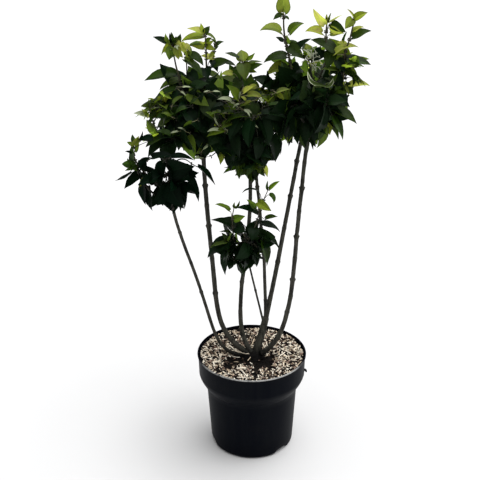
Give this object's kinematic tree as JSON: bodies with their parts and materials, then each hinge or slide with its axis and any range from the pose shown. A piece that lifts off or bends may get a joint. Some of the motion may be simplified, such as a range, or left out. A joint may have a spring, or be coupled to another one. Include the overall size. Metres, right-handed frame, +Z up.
{
  "type": "potted lilac shrub",
  "caption": "Multi-stemmed lilac shrub with a broken leafy crown on bare stems, growing in a round black nursery pot with mulched compost.",
  "frame": {"origin": "centre of the flat underside of the pot", "axes": "+Z up along the pot's axis, -Y towards the front from which the plant is shown, +X to the viewer's right"},
  "size_m": [0.5258, 0.412, 1.0759],
  "materials": {
    "pot_plastic": "satin, moulded",
    "mulch": "chipped bark over dark compost",
    "bark": "matt grey-brown bark with bud nodes",
    "foliage": "satin leaf",
    "young_foliage": "thin satin leaf"
  },
  "bodies": {
    "root": {"pot": "pot_plastic", "pot_collar": "pot_plastic", "compost": "mulch", "root_crown": "bark", "short_trunk": "bark", "stem_far_left": "bark", "stem_left": "bark", "stem_back": "bark", "stem_centre": "bark", "stem_right_back": "bark", "stem_thin": "bark", "stem_right": "bark", "leader": "bark", "bough_right_tip_west": "bark", "bough_right_tip_east": "bark", "bough_left_tip_west": "bark", "bough_left_tip_east": "bark", "bough_centre_tip": "bark", "bough_low_centre_west": "bark", "bough_low_centre_east": "bark", "left_crown": "foliage", "right_crown": "foliage", "right_front": "foliage", "low_left_head": "foliage", "centre_crown": "foliage", "centre_skirt": "foliage", "low_centre_head": "foliage", "centre_left": "foliage", "left_under": "foliage", "right_under": "foliage", "right_top": "foliage", "right_shoulder": "foliage", "left_back": "foliage", "centre_back": "foliage", "right_back": "foliage", "left_tip_west": "young_foliage", "left_tip_east": "young_foliage", "centre_tip": "young_foliage", "right_tip_west": "young_foliage", "right_tip_east": "young_foliage", "leader_tip": "young_foliage", "leader_waist": "young_foliage", "left_side_spray": "young_foliage", "low_left_spray": "young_foliage", "low_centre_west": "young_foliage", "low_centre_east": "young_foliage"}
  },
  "joints": []
}
